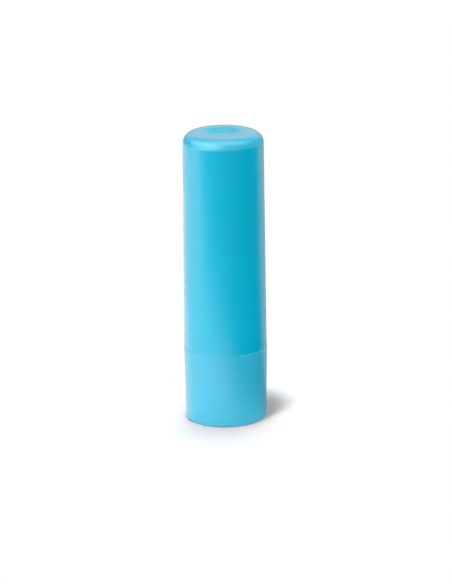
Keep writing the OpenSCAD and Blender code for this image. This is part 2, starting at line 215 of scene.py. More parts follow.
class BalmStickStage(bpy.types.PropertyGroup):
    """Camera, sheet and even light of the small studio."""

    aim_z: length("Aim height", "Height on the axis that the camera's place is measured from", 34.5)
    distance: length("Distance", "Distance from the camera to the aim point", 800.0)
    elevation: angle("Elevation", "Camera's angle above the floor", 16.1)
    roll: angle("Roll", "Camera's lean, which tips the stick to the left", 0.703)
    pixels_per_mm: amount("Pixels per millimetre", "Scale of the picture at the aim point", 4.3966)
    aim_column: amount("Aim column", "Column of the picture where the aim point lies", 224.69)
    aim_row: amount("Aim row", "Row of the picture where the aim point lies", 270.8)
    floor_reach: length("Floor reach", "How far the floor reaches to every side", 3000.0)
    sheet_turn: angle("Sheet turn", "Turn of the white sheet, anticlockwise seen from above", 5)
    sheet_right: length("Sheet right", "Distance from the stick to the right edge of the white sheet", 6.0)
    sheet_right_soft: length("Sheet right softness", "Half the width over which that edge fades", 26.0)
    sheet_front: length("Sheet front", "Distance from the stick to the front edge of the white sheet", 90.0)
    sheet_front_soft: length("Sheet front softness", "Half the width over which that edge fades", 45.0)
    sheet_back: length("Sheet back", "Distance behind the stick where a second, greyer sheet starts", 8.0)
    sheet_back_soft: length("Sheet back softness", "Half the width over which that one fades in", 16.0)
    sheet_back_turn: angle("Sheet back turn", "Further turn of the second sheet's edge", 14)
    sheet_back_share: amount("Sheet back share", "How white it is, as a share of the first sheet", 0.5)
    shadow_gain: amount("Shadow gain", "How much brighter the camera sees the sheet by the stick", 1.6)
    shadow_drop: amount("Shadow drop", "Light taken off there, so that the shadow shows on white", 0.81)
    shadow_reach: length("Shadow reach", "Distance from the stick's axis where that starts to fade", 18.0)
    shadow_fade: length("Shadow fade", "Width over which it fades to plain white", 14.0)
    # Where the foot meets the sheet the camera sees a painted contact shadow, a fixed grey glow; these four
    # set its brightness, reach, offset and fade
    painted_contact_shade: amount("Contact grey", "How bright the camera sees the sheet where the foot meets it", 0.5)
    contact_r: length("Contact radius", "Distance from the stick's axis out to which it is that grey", 8.8)
    contact_aside: length("Contact aside", "How far to the right that grey lies", 0.2)
    contact_fade: length("Contact fade", "Width over which it turns into the shadow", 1.0)
    blue_reach: length("Blue reach", "Distance past the grey over which the sheet catches blue", 16.0)
    fill: amount("Fill", "Strength of the even light from all round", 0.18)
    mirrored_fill: amount("Mirrored fill", "Strength of the surroundings that the plastic mirrors", 0.27)


def deselect_all():
    """Leaves nothing selected, in object mode."""
    if bpy.context.object and bpy.context.object.mode != "OBJECT":
        bpy.ops.object.mode_set(mode="OBJECT")
    bpy.ops.object.select_all(action="DESELECT")


def arc(centre_r, centre_z, radius, start, end, steps):
    """Points of an arc in the plane of the outline, from one angle to another in degrees."""
    angles = [math.radians(start + (end - start) * i / steps) for i in range(steps + 1)]
    return [(centre_r + radius * math.cos(a), centre_z + radius * math.sin(a)) for a in angles]


def line(start, end, steps):
    """Points along a straight stretch of an outline, without its first one."""
    return [
        (start[0] + (end[0] - start[0]) * i / steps, start[1] + (end[1] - start[1]) * i / steps)
        for i in range(1, steps + 1)
    ]


def snap_ring(wall_r, z, proud, crest_w, fine):
    """A ring with flanks at 45 degrees and softened corners on a wall, listed upwards."""
    half_w = crest_w / 2
    soft = min(fine, proud / 2) / 2
    return [
        (wall_r, z - half_w - proud - soft), (wall_r + soft, z - half_w - proud + soft),
        (wall_r + proud - soft, z - half_w - soft), (wall_r + proud, z - half_w + soft),
        (wall_r + proud, z + half_w - soft), (wall_r + proud - soft, z + half_w + soft),
        (wall_r + soft, z + half_w + proud - soft), (wall_r, z + half_w + proud + soft),
    ]


def turn(name, outline, sides, ring=False):
    """Models a turned piece: a circle is extruded ring by ring along the outline of radius and height.
    A ring's outline closes on itself. Any other has its two ends drawn together on the axis."""
    deselect_all()
    radius, height = outline[0]
    bpy.ops.mesh.primitive_circle_add(
        vertices=sides, radius=radius, fill_type="NOTHING" if ring else "TRIFAN", location=(0, 0, 0)
    )
    piece = bpy.context.object
    piece.name = name
    piece.data.name = name
    bpy.ops.object.mode_set(mode="EDIT")
    bpy.ops.mesh.select_mode(type="EDGE")
    bpy.ops.mesh.select_all(action="SELECT")
    bpy.ops.transform.translate(value=(0, 0, height))
    if not ring:
        bpy.ops.mesh.region_to_loop()
    last = outline[:1] if ring else []
    for next_radius, next_height in outline[1:] + last:
        bpy.ops.mesh.extrude_edges_move(TRANSFORM_OT_translate={"value": (0, 0, next_height - height)})
        share = next_radius / radius
        bpy.ops.transform.resize(value=(share, share, 1), center_override=(0, 0, next_height))
        radius, height = next_radius, next_height
    if ring:
        bpy.ops.mesh.select_all(action="SELECT")
        bpy.ops.mesh.remove_doubles(threshold=MM / 1000)
    else:
        bpy.ops.mesh.extrude_edges_move(TRANSFORM_OT_translate={"value": (0, 0, 0)})
        bpy.ops.mesh.merge(type="CENTER")
    bpy.ops.mesh.select_all(action="SELECT")
    bpy.ops.mesh.normals_make_consistent(inside=False)
    bpy.ops.object.mode_set(mode="OBJECT")
    smooth(piece)
    return piece


def smooth(piece):
    """Shades a piece smooth, apart from its sharp edges."""
    deselect_all()
    piece.select_set(True)
    bpy.context.view_layer.objects.active = piece
    bpy.ops.object.shade_smooth_by_angle(angle=math.radians(30))


def box_between(low, high):
    """A box between two corners, left in edit mode with all of it selected."""
    deselect_all()
    bpy.ops.mesh.primitive_cube_add(size=1.0, location=(0, 0, 0))
    bpy.ops.object.mode_set(mode="EDIT")
    bpy.ops.mesh.select_all(action="SELECT")
    sides = [far - near for near, far in zip(low, high)]
    middle = [(near + far) / 2 for near, far in zip(low, high)]
    bpy.ops.transform.resize(value=sides, center_override=(0, 0, 0))
    bpy.ops.transform.translate(value=middle)
    return bpy.context.object


def swing(turn_angle):
    """Swings what is selected in edit mode round the stick's axis, and leaves edit mode."""
    bpy.ops.transform.rotate(value=turn_angle, orient_axis="Z", center_override=(0, 0, 0))
    bpy.ops.object.mode_set(mode="OBJECT")


def block(low, high, turn_angle):
    """A box between two corners, turned about the stick's axis."""
    piece = box_between(low, high)
    swing(turn_angle)
    return piece


def cut(piece, cutters):
    """Cuts the cutters out of a piece and deletes them."""
    for cutter in cutters:
        deselect_all()
        piece.select_set(True)
        bpy.context.view_layer.objects.active = piece
        change = piece.modifiers.new("cut", "BOOLEAN")
        change.operation = "DIFFERENCE"
        change.solver = "EXACT"
        change.object = cutter
        bpy.ops.object.modifier_apply(modifier=change.name)
        bpy.data.objects.remove(cutter)
    smooth(piece)


def join(piece, others):
    """Joins other pieces into one."""
    deselect_all()
    for other in others:
        other.select_set(True)
    piece.select_set(True)
    bpy.context.view_layer.objects.active = piece
    bpy.ops.object.join()
    smooth(piece)


def edge_circle(wall_r, wall_z, slope, level, side, radius):
    """Centre of an edge that rounds a leaning wall into a level face. The wall passes through
    (wall_r, wall_z) and widens by slope with height; side is 1 above the level face and -1 below."""
    z = level + side * radius
    return wall_r + slope * (z - wall_z) - radius * math.sqrt(1 + slope * slope), z


def cap_slope(shells):
    """How much the cap's radius grows per height: it is negative, as the cap narrows upwards."""
    return -shells.cap_taper / (CAP_HIGH[2] - CAP_LOW[2])


def cap_inside(shells, z):
    """Radius of the cap's inside at a height."""
    return SEAM_R - shells.cap_wall + cap_slope(shells) * (z - CAP_LOW[2])


def bore_radius(shells, inside):
    """Radius of the tube's bore."""
    return cap_inside(shells, TUBE_HIGH[2]) - inside.barrel_gap - inside.tube_wall


def dish(shells, r):
    """Depth of the dish at radius r: a flat bottom, and a wall that curves smoothly up to the rim."""
    if r <= shells.dish_floor_r:
        return shells.dish_depth
    share = min(1.0, (r - shells.dish_floor_r) / (shells.dish_r - shells.dish_floor_r))
    return shells.dish_depth * (1 + math.cos(math.pi * share)) / 2


def cap_outline(shells, inside):
    """The cap's outline, from the middle of its ceiling down its inside and up its outside."""
    rim_z, top_z = CAP_LOW[2] - shells.rim_drop, CAP_HIGH[2]
    lean = math.degrees(math.atan(cap_slope(shells)))
    inner_r = SEAM_R - shells.cap_wall
    ceiling_z = top_z - shells.cap_top_wall
    inner_edge_r = shells.cap_edge_r - shells.cap_wall
    wall_steps, bowl_steps = 12, 12
    bowl_w = shells.dish_r - shells.dish_floor_r
    bowl = [shells.dish_floor_r / 2]
    bowl += [shells.dish_floor_r + bowl_w * i / bowl_steps for i in range(bowl_steps + 1)]
    points = [(r, ceiling_z - dish(shells, r)) for r in bowl]
    centre = edge_circle(inner_r, rim_z, cap_slope(shells), ceiling_z, -1, inner_edge_r)
    points += arc(*centre, inner_edge_r, 90, -lean, shells.edge_steps)
    bead_z = BASE_HIGH[2] + inside.bead_up
    groove = snap_ring(
        cap_inside(shells, bead_z), bead_z, inside.bead_proud, inside.bead_crest_w, shells.fine_edge_r
    )
    points += reversed(groove)
    points += [(inner_r, rim_z + shells.mouth_chamfer), (inner_r + shells.mouth_chamfer, rim_z)]
    rim_r = SEAM_R - shells.rim_step
    points += arc(rim_r - shells.rim_edge_r, rim_z + shells.rim_edge_r, shells.rim_edge_r, -90, 0, FINE_STEPS)
    centre = edge_circle(SEAM_R, rim_z, cap_slope(shells), top_z, -1, shells.cap_edge_r)
    edge = arc(*centre, shells.cap_edge_r, -lean, 90, 2 * shells.edge_steps)
    points += line(points[-1], edge[0], wall_steps)
    points += edge[1:]
    points += [(r, top_z - dish(shells, r)) for r in reversed(bowl)]
    gate_z = top_z - shells.dish_depth
    points += [(shells.gate_r * across, gate_z + shells.gate_h * up) for across, up in GATE_PROFILE]
    return points


def base_outline(shells, inside):
    """The base's outline, from the middle of its underside up its outside and down to its boss."""
    top_z = BASE_HIGH[2]
    slope = shells.base_taper / top_z
    lean = math.degrees(math.atan(slope))
    floor_z = shells.foot_recess + shells.base_floor
    boss_z = floor_z + shells.boss_h
    cavity_r = SEAM_R - shells.base_wall
    fine = shells.fine_edge_r
    centre = edge_circle(SEAM_R - shells.base_taper, 0.0, slope, 0.0, 1, shells.foot_edge_r)
    ring_r = centre[0] - shells.foot_ring_w
    recess_steps, wall_steps = 4, 6
    points = [(shells.gate_r * BASE_GATE_SHARE, shells.foot_recess - shells.gate_h)]
    points += [(shells.gate_r, shells.foot_recess)]
    points += line(points[-1], (ring_r - 2 * fine, shells.foot_recess), recess_steps)
    points += arc(ring_r - fine, shells.foot_recess - fine, fine, 90, 0, FINE_STEPS)
    points += arc(ring_r + fine, fine, fine, 180, 270, FINE_STEPS)
    edge = arc(*centre, shells.foot_edge_r, -90, -lean, shells.edge_steps)
    points += edge
    points += line(edge[-1], (SEAM_R, top_z - fine), wall_steps)
    points += arc(SEAM_R - fine, top_z - fine, fine, 0, 90, FINE_STEPS + 1)[1:]
    points += arc(cavity_r + fine, top_z - fine, fine, 90, 180, FINE_STEPS)
    groove_w = inside.keeper_crest_w + 2 * fine
    points += reversed(snap_ring(cavity_r, inside.keeper_z, inside.keeper_proud, groove_w, fine))
    points += [(cavity_r, floor_z + 2 * fine), (cavity_r - 2 * fine, floor_z)]
    points += [(shells.boss_r + fine, floor_z), (shells.boss_r, floor_z + fine)]
    points += arc(shells.boss_r - fine, boss_z - fine, fine, 0, 90, FINE_STEPS)
    return points


def gusset(shells, turn_angle):
    """One of the triangular gussets that stiffen the base's boss."""
    floor_z = shells.foot_recess + shells.base_floor
    low = (shells.boss_r - shells.gusset_t / 4, -shells.gusset_t / 2, floor_z - shells.base_floor / 4)
    high = (shells.boss_r + shells.gusset_reach, shells.gusset_t / 2, floor_z + shells.gusset_h)
    piece = box_between(low, high)
    bpy.ops.mesh.select_mode(type="VERT")
    bpy.ops.mesh.select_all(action="DESELECT")
    bpy.ops.object.mode_set(mode="OBJECT")
    for vertex in piece.data.vertices:
        vertex.select = vertex.co.x > (low[0] + high[0]) / 2 and vertex.co.z > floor_z
    bpy.ops.object.mode_set(mode="EDIT")
    bpy.ops.transform.translate(value=(0, 0, -shells.gusset_h))
    bpy.ops.mesh.select_all(action="SELECT")
    bpy.ops.mesh.bevel(offset=shells.fine_edge_r, segments=2, affect="EDGES")
    swing(turn_angle)
    return piece


def tube_outline(shells, inside):
    """The inner tube's outline, up its bore, over its mouth and down its outside."""
    skirt_r = SEAM_R - shells.base_wall - inside.turn_fit
    foot_z, mouth_z = TUBE_LOW[2], TUBE_HIGH[2]
    collar_z = BASE_HIGH[2] + inside.collar_h
    barrel_foot_r = cap_inside(shells, collar_z) - inside.barrel_gap
    barrel_top_r = cap_inside(shells, mouth_z) - inside.barrel_gap
    bore_r = bore_radius(shells, inside)
    slope = (barrel_top_r - barrel_foot_r) / (mouth_z - collar_z)
    lean = math.degrees(math.atan(slope))
    fine = shells.fine_edge_r
    guide_top_z = mouth_z - inside.guide_inset
    barrel_steps = 8
    points = [(bore_r, foot_z)]
    for guide_end_z in (inside.guide_low_z, guide_top_z):
        points += [(bore_r, guide_end_z - inside.guide_h), (bore_r, guide_end_z)]
    points += arc(bore_r + fine, mouth_z - fine, fine, 180, 90, FINE_STEPS)
    centre = edge_circle(barrel_top_r, mouth_z, slope, mouth_z, -1, inside.mouth_edge_r)
    edge = arc(*centre, inside.mouth_edge_r, 90, -lean, shells.edge_steps)
    points += edge
    points += line(edge[-1], (barrel_foot_r, collar_z + fine), barrel_steps)
    points += [(barrel_foot_r + fine / 2, collar_z - fine / 2)]
    slope_foot_z = collar_z - inside.collar_slope_h
    points += [(skirt_r - fine / 2, slope_foot_z + fine), (skirt_r, slope_foot_z - fine)]
    bead_z = BASE_HIGH[2] + inside.bead_up
    points += reversed(snap_ring(skirt_r, bead_z, inside.bead_proud, inside.bead_crest_w, fine))
    points += reversed(snap_ring(skirt_r, inside.keeper_z, inside.keeper_proud, inside.keeper_crest_w, fine))
    lead_in = inside.keeper_proud + inside.turn_fit
    points += [(skirt_r, foot_z + lead_in), (skirt_r - lead_in, foot_z)]
    return points


def raise_guides(piece, shells, inside):
    """Raises the guide ribs out of the tube's bore by drawing narrow strips of it inwards."""
    bore_r = bore_radius(shells, inside)
    low_z, high_z = inside.guide_low_z, TUBE_HIGH[2] - inside.guide_inset - inside.guide_h
    slack = shells.fine_edge_r / 2
    for vertex in piece.data.vertices:
        x, y, z = vertex.co
        away = (math.atan2(y, x) - math.pi / 4) % (math.pi / 2)
        off_rib = min(away, math.pi / 2 - away) * bore_r
        on_wall = math.hypot(x, y) < bore_r + slack
        vertex.select = on_wall and off_rib < inside.guide_w / 2 and low_z - slack < z < high_z + slack
    for polygon in piece.data.polygons:
        polygon.select = False
    for edge in piece.data.edges:
        edge.select = False
    bpy.ops.object.mode_set(mode="EDIT")
    bpy.ops.mesh.select_mode(type="VERT")
    share = (bore_r - inside.guide_h) / bore_r
    bpy.ops.transform.resize(value=(share, share, 1), center_override=(0, 0, 0))
    bpy.ops.object.mode_set(mode="OBJECT")
    smooth(piece)


def balm_outline(inside):
    """The balm's outline, from the top of the spindle's hole down to its foot and up to its tip."""
    foot_z, tip_z = BALM_LOW[2], BALM_HIGH[2]
    cup_top_z = foot_z + inside.cup_h
    plug_r = BALM_R - inside.cup_wall
    dome_r = (BALM_R ** 2 + inside.dome_h ** 2) / (2 * inside.dome_h)
    dome_z = tip_z - dome_r
    centre_r = BALM_R - inside.shoulder_r
    centre_z = dome_z + math.sqrt((dome_r - inside.shoulder_r) ** 2 - centre_r ** 2)
    meet = math.degrees(math.atan2(centre_z - dome_z, centre_r))
    wall_steps, shoulder_steps, dome_steps = 8, 6, 16
    # The dome ends one degree from its tip, and turn() closes it there
    dome_end = 89
    bore_r, bore_top_z = inside.bore_r, inside.bore_top_z
    points = [(bore_r / 4, bore_top_z + bore_r * 3 / 8), (bore_r, bore_top_z), (bore_r, foot_z)]
    points += [(plug_r, foot_z), (plug_r, cup_top_z), (BALM_R, cup_top_z)]
    points += line(points[-1], (BALM_R, centre_z), wall_steps)
    points += arc(centre_r, centre_z, inside.shoulder_r, 0, meet, shoulder_steps)[1:]
    points += arc(0, dome_z, dome_r, meet, dome_end, dome_steps)[1:]
    return points


def balm_cutters(shells, inside):
    """Grooves for the tube's guide ribs, and the slots that the cup's fins leave."""
    foot_z, tip_z = BALM_LOW[2], BALM_HIGH[2]
    groove_r = bore_radius(shells, inside) - inside.guide_h - inside.guide_fit
    groove_w = inside.guide_w + 2 * inside.guide_fit
    plug_r = BALM_R - inside.cup_wall
    over = inside.dome_h
    cutters = []
    for quarter in QUARTER_TURNS:
        cutters.append(block(
            (groove_r, -groove_w / 2, foot_z + inside.cup_h - over / 2),
            (BALM_R + over, groove_w / 2, tip_z + over),
            quarter + math.pi / 4,
        ))
        cutters.append(block(
            (plug_r - inside.fin_reach, -inside.fin_t / 2, foot_z - over),
            (plug_r + inside.cup_wall / 2, inside.fin_t / 2, foot_z + inside.fin_h),
            quarter,
        ))
    return cutters


def new_material(name):
    """An empty node material with a Principled shader, and its node tree."""
    material = bpy.data.materials.new(name)
    material.use_nodes = True
    tree = material.node_tree
    return material, tree, tree.nodes["Principled BSDF"]


def noise(tree, coordinates, scale, detail=2.0):
    """A noise texture on the given coordinates."""
    node = tree.nodes.new("ShaderNodeTexNoise")
    node.inputs["Scale"].default_value = scale
    node.inputs["Detail"].default_value = detail
    tree.links.new(coordinates, node.inputs["Vector"])
    return node.outputs["Fac"]


def spread(tree, value, low, high):
    """Maps a texture's 0 to 1 on to low to high."""
    node = tree.nodes.new("ShaderNodeMapRange")
    node.inputs["To Min"].default_value = low
    node.inputs["To Max"].default_value = high
    tree.links.new(value, node.inputs["Value"])
    return node.outputs["Result"]


def bump(tree, height, depth, under=None):
    """A bump of the given depth in metres, on top of another if one is given."""
    node = tree.nodes.new("ShaderNodeBump")
    node.inputs["Strength"].default_value = 1.0
    node.inputs["Distance"].default_value = depth
    tree.links.new(height, node.inputs["Height"])
    if under:
        tree.links.new(under, node.inputs["Normal"])
    return node.outputs["Normal"]


def mix_colours(tree, factor, first, second):
    """A mix of two colours: the first at 0 and the second at 1."""
    node = tree.nodes.new("ShaderNodeMix")
    node.data_type = "RGBA"
    node.inputs["A"].default_value = (*first, 1)
    node.inputs["B"].default_value = (*second, 1)
    tree.links.new(factor, node.inputs["Factor"])
    return node.outputs["Result"]


def tint(tree, factor, rgb, low, high):
    """The colour rgb made a little darker and lighter by a texture."""
    return mix_colours(tree, factor, [c * low for c in rgb], [min(1.0, c * high) for c in rgb])


def moulded_plastic(name, rgb, roughness, cloud, grain_depth):
    """Satin moulded plastic: faint clouds in the pigment, and a fine spark-eroded grain."""
    material, tree, shader = new_material(name)
    place = tree.nodes.new("ShaderNodeTexCoord").outputs["Object"]
    clouds = noise(tree, place, CLOUD_SCALE, 3.0)
    tree.links.new(tint(tree, clouds, rgb, 1 - cloud, 1 + cloud), shader.inputs["Base Color"])
    patches = noise(tree, place, PATCH_SCALE, 2.0)
    rougher = spread(tree, patches, roughness - ROUGHNESS_SPREAD, roughness + ROUGHNESS_SPREAD)
    tree.links.new(rougher, shader.inputs["Roughness"])
    grain = bump(tree, noise(tree, place, GRAIN_SCALE, 2.0), grain_depth)
    ripple = bump(tree, noise(tree, place, RIPPLE_SCALE, 1.0), RIPPLE_SHARE * grain_depth, grain)
    tree.links.new(ripple, shader.inputs["Normal"])
    shader.inputs["IOR"].default_value = 1.49
    shader.inputs["Coat Weight"].default_value = 1.0
    shader.inputs["Coat IOR"].default_value = 1.5
    shader.inputs["Coat Roughness"].default_value = 0.22
    return material


def wax(name, rgb):
    """Cast balm: soft, slightly see-through, with faint flow marks."""
    material, tree, shader = new_material(name)
    place = tree.nodes.new("ShaderNodeTexCoord").outputs["Object"]
    clouds = noise(tree, place, WAX_CLOUD_SCALE, 4.0)
    tree.links.new(tint(tree, clouds, rgb, 0.96, 1.04), shader.inputs["Base Color"])
    sheen = spread(tree, noise(tree, place, WAX_SHEEN_SCALE), 0.3, 0.5)
    tree.links.new(sheen, shader.inputs["Roughness"])
    flow = bump(tree, noise(tree, place, WAX_FLOW_SCALE, 3.0), 0.02 * MM)
    tree.links.new(flow, shader.inputs["Normal"])
    shader.inputs["IOR"].default_value = 1.44
    shader.inputs["Subsurface Weight"].default_value = 0.35
    shader.inputs["Subsurface Radius"].default_value = (1.0, 0.8, 0.5)
    shader.inputs["Subsurface Scale"].default_value = 1.5 * MM
    return material


def dress(piece, material):
    """Gives a piece one material in place of whatever it had."""
    piece.data.materials.clear()
    piece.data.materials.append(material)


class BALMSTICK_OT_cap(bpy.types.Operator):
    """Turn the cap: dished top, rounded edge, tapered wall and snap groove"""

    bl_idname = "balmstick.cap"
    bl_label = "Cap"

    def execute(self, context):
        shells, inside = context.scene.balmstick_shells, context.scene.balmstick_inside
        colours = context.scene.balmstick_colours
        piece = turn("cap_moulding", cap_outline(shells, inside), shells.sides)
        material = moulded_plastic(
            "cap_polypropylene", colours.cap, roughness=0.32, cloud=0.025, grain_depth=0.004 * MM
        )
        dress(piece, material)
        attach(piece, "cap")
        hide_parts("cap")
        return {"FINISHED"}


class BALMSTICK_OT_base(bpy.types.Operator):
    """Turn the base: foot ring, tapered grip, and the boss that drives the spindle"""

    bl_idname = "balmstick.base"
    bl_label = "Base"

    def execute(self, context):
        shells, inside = context.scene.balmstick_shells, context.scene.balmstick_inside
        colours = context.scene.balmstick_colours
        piece = turn("base_moulding", base_outline(shells, inside), shells.sides)
        cut(piece, [self.socket(shells)])
        join(piece, [gusset(shells, quarter) for quarter in QUARTER_TURNS])
        material = moulded_plastic(
            "base_polypropylene", colours.base, roughness=0.34, cloud=0.025, grain_depth=0.005 * MM
        )
        dress(piece, material)
        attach(piece, "base")
        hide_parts("base_shell")
        return {"FINISHED"}

    def socket(self, shells):
        """The cutter of the hexagonal socket that the spindle is pressed into."""
        floor_z = shells.foot_recess + shells.base_floor
        depth = shells.boss_h + shells.base_floor
        deselect_all()
        bpy.ops.mesh.primitive_cylinder_add(
            vertices=6, radius=shells.socket_r, depth=depth, location=(0, 0, 0), rotation=(0, 0, 0)
        )
        cutter = bpy.context.object
        bpy.ops.object.mode_set(mode="EDIT")
        bpy.ops.mesh.select_all(action="SELECT")
        bpy.ops.transform.translate(value=(0, 0, floor_z + depth / 2))
        swing(math.radians(30))
        return cutter


class BALMSTICK_OT_tube(bpy.types.Operator):
    """Turn the inner tube: collar, snap bead, keeper ring and guide ribs"""

    bl_idname = "balmstick.tube"
    bl_label = "Inner tube"

    def execute(self, context):
        shells, inside = context.scene.balmstick_shells, context.scene.balmstick_inside
        colours = context.scene.balmstick_colours
        piece = turn("tube_moulding", tube_outline(shells, inside), shells.sides, ring=True)
        raise_guides(piece, shells, inside)
        material = moulded_plastic(
            "tube_polypropylene", colours.tube, roughness=0.38, cloud=0.015, grain_depth=0.002 * MM
        )
        dress(piece, material)
        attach(piece, "tube")
        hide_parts("inner_tube")
        return {"FINISHED"}


class BALMSTICK_OT_mechanism(bpy.types.Operator):
    """Finish the spindle and the carrier in natural plastic"""

    bl_idname = "balmstick.mechanism"
    bl_label = "Spindle and carrier"

    def execute(self, context):
        colours = context.scene.balmstick_colours
        material = moulded_plastic(
            "natural_plastic", colours.mechanism, roughness=0.45, cloud=0.02, grain_depth=0.003 * MM
        )
        dress(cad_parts["spindle"], material)
        dress(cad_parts["carrier"], material)
        return {"FINISHED"}


class BALMSTICK_OT_balm(bpy.types.Operator):
    """Cast the balm: domed tip, soft shoulder and guide grooves"""

    bl_idname = "balmstick.balm"
    bl_label = "Balm"

    def execute(self, context):
        shells, inside = context.scene.balmstick_shells, context.scene.balmstick_inside
        piece = turn("balm_casting", balm_outline(inside), shells.sides)
        cut(piece, balm_cutters(shells, inside))
        dress(piece, wax("balm_wax", context.scene.balmstick_colours.balm))
        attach(piece, "carrier")
        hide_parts("balm")
        return {"FINISHED"}


# Each light has its azimuth and elevation in degrees, its distance, width and height in metres,
# and the radiance of its face. These light the pieces and the sheet, and nothing mirrors them
MATTE_LIGHTS = {
    "front": (5, 27, 0.8, 1.3, 0.45, 3.5),
    "left_low": (-90, 6, 0.5, 0.5, 0.14, 5.0),
    "right_low": (110, 10, 0.7, 0.7, 0.3, 3.3),
    "behind": (180, 30, 1.2, 2.0, 0.7, 1.7),
    "behind_high": (171, 79, 1.0, 0.3, 0.3, 7.0),
}
# These light the sheet alone, and so cast the stick's shadow on it
SHEET_LIGHTS = {
    "overhead": (-33, 81.5, 1.0, 0.06, 0.12, 190.0),
}
# These are boxes with soft edges that the plastic mirrors, and they light nothing else
MIRRORED_BOXES = {
    "box_front": (-30, 30, 0.8, 1.2, 0.8, 1.7),
    "box_front_high": (-45, 50, 0.8, 0.9, 0.7, 2.6),
    "box_front_low": (-58, 10, 0.6, 0.9, 0.4, 2.4),
    "box_left": (-88, 42, 0.8, 1.2, 1.0, 2.3),
    "box_right": (85, 55, 0.8, 1.2, 0.6, 1.2),
    "box_top": (0, 84, 0.8, 1.4, 1.4, 2.1),
    "box_behind": (180, 32, 1.2, 2.6, 1.7, 0.5),
}


def aim(lamp, place, target):
    """Puts a lamp at a place, shining at a target."""
    lamp.location = place
    lamp.rotation_euler = (Vector(target) - Vector(place)).to_track_quat("-Z", "Y").to_euler()


def around(azimuth, elevation, distance, height):
    """A place round the stick: azimuth 0 is the camera's side, and 90 is to its right."""
    turned, raised = math.radians(azimuth), math.radians(elevation)
    right = distance * math.sin(turned) * math.cos(raised)
    back = -distance * math.cos(turned) * math.cos(raised)
    return Vector((right, back, height + distance * math.sin(raised)))


def fade(tree, value, low, high):
    """1 up to low and 0 from high on, with a smooth step between them."""
    node = tree.nodes.new("ShaderNodeMapRange")
    node.interpolation_type = "SMOOTHSTEP"
    node.inputs["From Min"].default_value = high
    node.inputs["From Max"].default_value = low
    tree.links.new(value, node.inputs["Value"])
    return node.outputs["Result"]


def combine(tree, operation, first, second):
    """A number worked out from another one and a second one, or a fixed value."""
    node = tree.nodes.new("ShaderNodeMath")
    node.operation = operation
    tree.links.new(first, node.inputs[0])
    if isinstance(second, float):
        node.inputs[1].default_value = second
    else:
        tree.links.new(second, node.inputs[1])
    return node.outputs["Value"]


def measure(tree, operation, place, other=(0, 0, 0)):
    """A number worked out from a place and a second one or a direction."""
    node = tree.nodes.new("ShaderNodeVectorMath")
    node.operation = operation
    tree.links.new(place, node.inputs[0])
    node.inputs[1].default_value = other
    return node.outputs["Value"]


def sheet_edge(tree, place, turn_angle, edge, soft):
    """1 up to an edge of the sheet and 0 past it. At a turn of 0 the edge lies to the stick's right,
    and at minus 90 degrees before it."""
    direction = (math.cos(turn_angle), math.sin(turn_angle), 0)
    return fade(tree, measure(tree, "DOT_PRODUCT", place, direction), edge - soft, edge + soft)


def glow(tree, strength):
    """A white emission of a fixed strength."""
    node = tree.nodes.new("ShaderNodeEmission")
    node.inputs["Strength"].default_value = strength
    return node


def floor_material(colours, stage):
    """White sheet on a darker table, for the light and for the plastic that mirrors it. The camera sees
    white, and round the stick the sheet's real shading, lifted to white but for the shadow. Where the foot
    meets the sheet it sees a painted contact shadow, a fixed grey glow."""
    material, tree, shader = new_material("white_sheet")
    place = tree.nodes.new("ShaderNodeTexCoord").outputs["Object"]
    front_turn = stage.sheet_turn - math.pi / 2
    to_right = sheet_edge(tree, place, stage.sheet_turn, stage.sheet_right, stage.sheet_right_soft)
    to_front = sheet_edge(tree, place, front_turn, stage.sheet_front, stage.sheet_front_soft)
    back_turn = front_turn + stage.sheet_back_turn
    to_back = sheet_edge(tree, place, back_turn, -stage.sheet_back, stage.sheet_back_soft)
    greyer = combine(tree, "MULTIPLY", to_back, stage.sheet_back_share)
    on_sheet = combine(tree, "MULTIPLY", combine(tree, "MAXIMUM", to_right, greyer), to_front)
    tree.links.new(mix_colours(tree, on_sheet, colours.table, colours.sheet), shader.inputs["Base Color"])
    shader.inputs["Roughness"].default_value = 0.9
    shader.inputs["Specular IOR Level"].default_value = 0.0

    away = measure(tree, "DISTANCE", place)
    by_stick = fade(tree, away, stage.contact_r, stage.contact_r + stage.blue_reach)
    seen_sheet = [c * stage.shadow_gain for c in colours.seen_sheet]
    near_sheet = [c * stage.shadow_gain for c in colours.near_sheet]
    lifted = tree.nodes.new("ShaderNodeBsdfDiffuse")
    tree.links.new(mix_colours(tree, by_stick, seen_sheet, near_sheet), lifted.inputs["Color"])
    shaded = tree.nodes.new("ShaderNodeAddShader")
    tree.links.new(lifted.outputs[0], shaded.inputs[0])
    tree.links.new(glow(tree, -stage.shadow_drop).outputs[0], shaded.inputs[1])

    in_shadow = fade(tree, away, stage.shadow_reach, stage.shadow_reach + stage.shadow_fade)
    # Painted contact shadow: by the foot the camera sees a fixed grey glow in place of the sheet's real
    # shading
    from_foot = measure(tree, "DISTANCE", place, (stage.contact_aside, 0, 0))
    painted_contact_mask = fade(tree, from_foot, stage.contact_r, stage.contact_r + stage.contact_fade)
    seen = blend(tree, in_shadow, glow(tree, 1.0), shaded)
    seen = blend(tree, painted_contact_mask, seen, glow(tree, stage.painted_contact_shade))
    path = tree.nodes.new("ShaderNodeLightPath")
    from_above = blend(tree, path.outputs["Is Camera Ray"], shader, seen)
    below = tree.nodes.new("ShaderNodeNewGeometry").outputs["Backfacing"]
    either_side = blend(tree, below, from_above, tree.nodes.new("ShaderNodeBsdfTransparent"))
    tree.links.new(either_side.outputs[0], tree.nodes["Material Output"].inputs["Surface"])
    return material


def blend(tree, factor, first, second):
    """A mix of two shaders: the first at 0 and the second at 1."""
    node = tree.nodes.new("ShaderNodeMixShader")
    tree.links.new(factor, node.inputs["Fac"])
    tree.links.new(first.outputs[0], node.inputs[1])
    tree.links.new(second.outputs[0], node.inputs[2])
    return node


